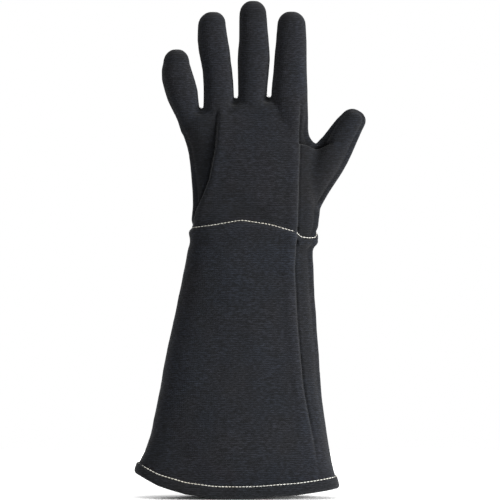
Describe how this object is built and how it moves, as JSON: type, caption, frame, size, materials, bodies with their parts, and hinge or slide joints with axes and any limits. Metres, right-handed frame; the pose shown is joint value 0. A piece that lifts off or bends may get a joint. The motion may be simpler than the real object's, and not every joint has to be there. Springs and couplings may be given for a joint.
{
  "type": "heat resistant glove",
  "caption": "Long-cuffed padded heat resistant glove for a left hand, in knitted dark cloth over felt and a lining, with a bending wrist, fingers and thumb.",
  "frame": {"origin": "middle of the cuff's mouth, level with the hem's lowest edge", "axes": "+X to the thumb side, +Y from the back of the hand to the palm, +Z from the cuff's mouth to the fingertips"},
  "size_m": [0.2132, 0.056, 0.4576],
  "materials": {
    "outer_cloth": "matte ribbed knit",
    "felt": "matte needled felt",
    "lining": "matte woven cotton",
    "hem": "matte folded binding",
    "topstitch": "off-white sewing thread",
    "seam": "black sewing thread"
  },
  "bodies": {
    "little_finger": {"little_finger_back_panel": "outer_cloth", "little_finger_palm_panel": "outer_cloth", "little_finger_seam": "seam", "little_finger_felt": "felt", "little_finger_lining": "lining"},
    "ring_finger": {"ring_finger_back_panel": "outer_cloth", "ring_finger_palm_panel": "outer_cloth", "ring_finger_seam": "seam", "ring_finger_felt": "felt", "ring_finger_lining": "lining"},
    "middle_finger": {"middle_finger_back_panel": "outer_cloth", "middle_finger_palm_panel": "outer_cloth", "middle_finger_seam": "seam", "middle_finger_felt": "felt", "middle_finger_lining": "lining"},
    "index_finger": {"index_finger_back_panel": "outer_cloth", "index_finger_palm_panel": "outer_cloth", "index_finger_seam": "seam", "index_finger_felt": "felt", "index_finger_lining": "lining"},
    "thumb": {"thumb_back_panel": "outer_cloth", "thumb_palm_panel": "outer_cloth", "thumb_seam": "seam", "thumb_felt": "felt", "thumb_lining": "lining"},
    "hand": {"hand_back_panel": "outer_cloth", "hand_palm_panel": "outer_cloth", "hand_outer_seam": "seam", "hand_inner_seam": "seam", "thumb_root_seam": "seam", "thumb_web_seam": "seam", "hand_felt": "felt", "hand_lining": "lining"},
    "cuff": {"cuff_back_panel": "outer_cloth", "cuff_palm_panel": "outer_cloth", "cuff_outer_seam": "seam", "cuff_inner_seam": "seam", "cuff_felt": "felt", "cuff_lining": "lining", "hem_band": "hem", "hem_stitching": "topstitch", "wrist_stitching": "topstitch"}
  },
  "joints": [
    {"name": "wrist_flex", "type": "hinge", "parent": "cuff", "child": "hand", "pos_m": [0.015, 0, 0.246], "axis": [-1, 0, 0], "range_deg": [-25, 25]},
    {"name": "little_finger_flex", "type": "hinge", "parent": "hand", "child": "little_finger", "pos_m": [-0.0469, 0.01042, 0.3525], "axis": [-0.9763, 0, -0.2164], "range_deg": [0, 60]},
    {"name": "ring_finger_flex", "type": "hinge", "parent": "hand", "child": "ring_finger", "pos_m": [-0.0176, 0.01277, 0.3615], "axis": [-0.9966, 0, -0.0819], "range_deg": [0, 60]},
    {"name": "middle_finger_flex", "type": "hinge", "parent": "hand", "child": "middle_finger", "pos_m": [0.0137, 0.0127, 0.365], "axis": [-0.9999, 0, 0.0105], "range_deg": [0, 60]},
    {"name": "index_finger_flex", "type": "hinge", "parent": "hand", "child": "index_finger", "pos_m": [0.0475, 0.014, 0.3658], "axis": [-0.9991, 0, 0.0419], "range_deg": [0, 60]},
    {"name": "thumb_flex", "type": "hinge", "parent": "hand", "child": "thumb", "pos_m": [0.0883, 0.0161, 0.318], "axis": [-0.8339, 0, 0.5519], "range_deg": [0, 45]}
  ]
}
